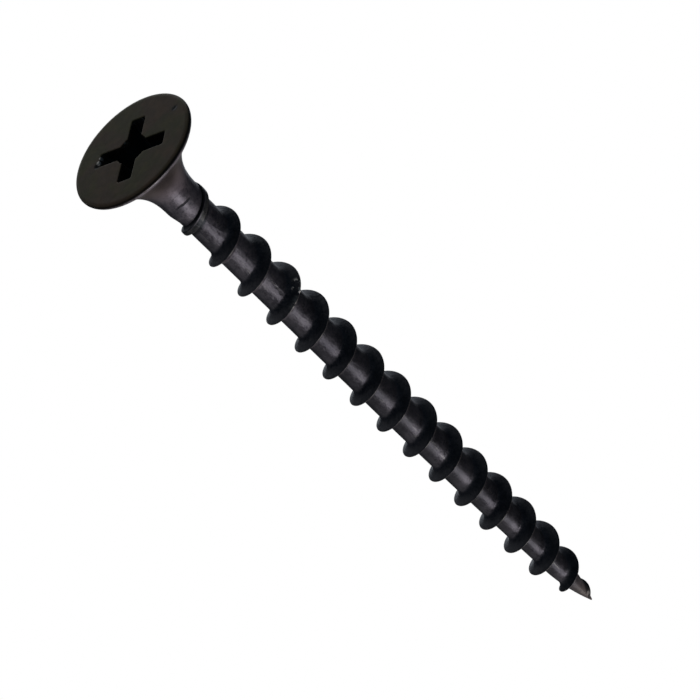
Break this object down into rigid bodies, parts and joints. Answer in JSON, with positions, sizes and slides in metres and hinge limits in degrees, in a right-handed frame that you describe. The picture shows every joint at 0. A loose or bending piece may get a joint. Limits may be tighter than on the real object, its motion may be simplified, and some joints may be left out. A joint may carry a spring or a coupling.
{
  "type": "wood screw",
  "caption": "One-piece steel wood screw with a flat-topped bugle head, cross recess, coarse single-start thread and gimlet point.",
  "frame": {"origin": "centre of the flat top of the head, on the screw's axis", "axes": "+Z along the axis, out of the head towards the driver, with the point straight below; the wings of the cross recess lie along X and Y"},
  "size_m": [0.0082, 0.0082, 0.05],
  "materials": {
    "phosphate_steel": "satin black-brown phosphate on cold-headed steel",
    "rolled_phosphate_steel": "oiled black phosphate on rolled thread, smoother and darker than the head",
    "worn_point_steel": "thin brownish grey phosphate worn at the pinched point"
  },
  "bodies": {
    "root": {"bugle_head": "phosphate_steel", "plain_neck": "phosphate_steel", "threaded_core": "rolled_phosphate_steel", "gimlet_point": "worn_point_steel", "thread_ridge": "rolled_phosphate_steel"}
  },
  "joints": []
}
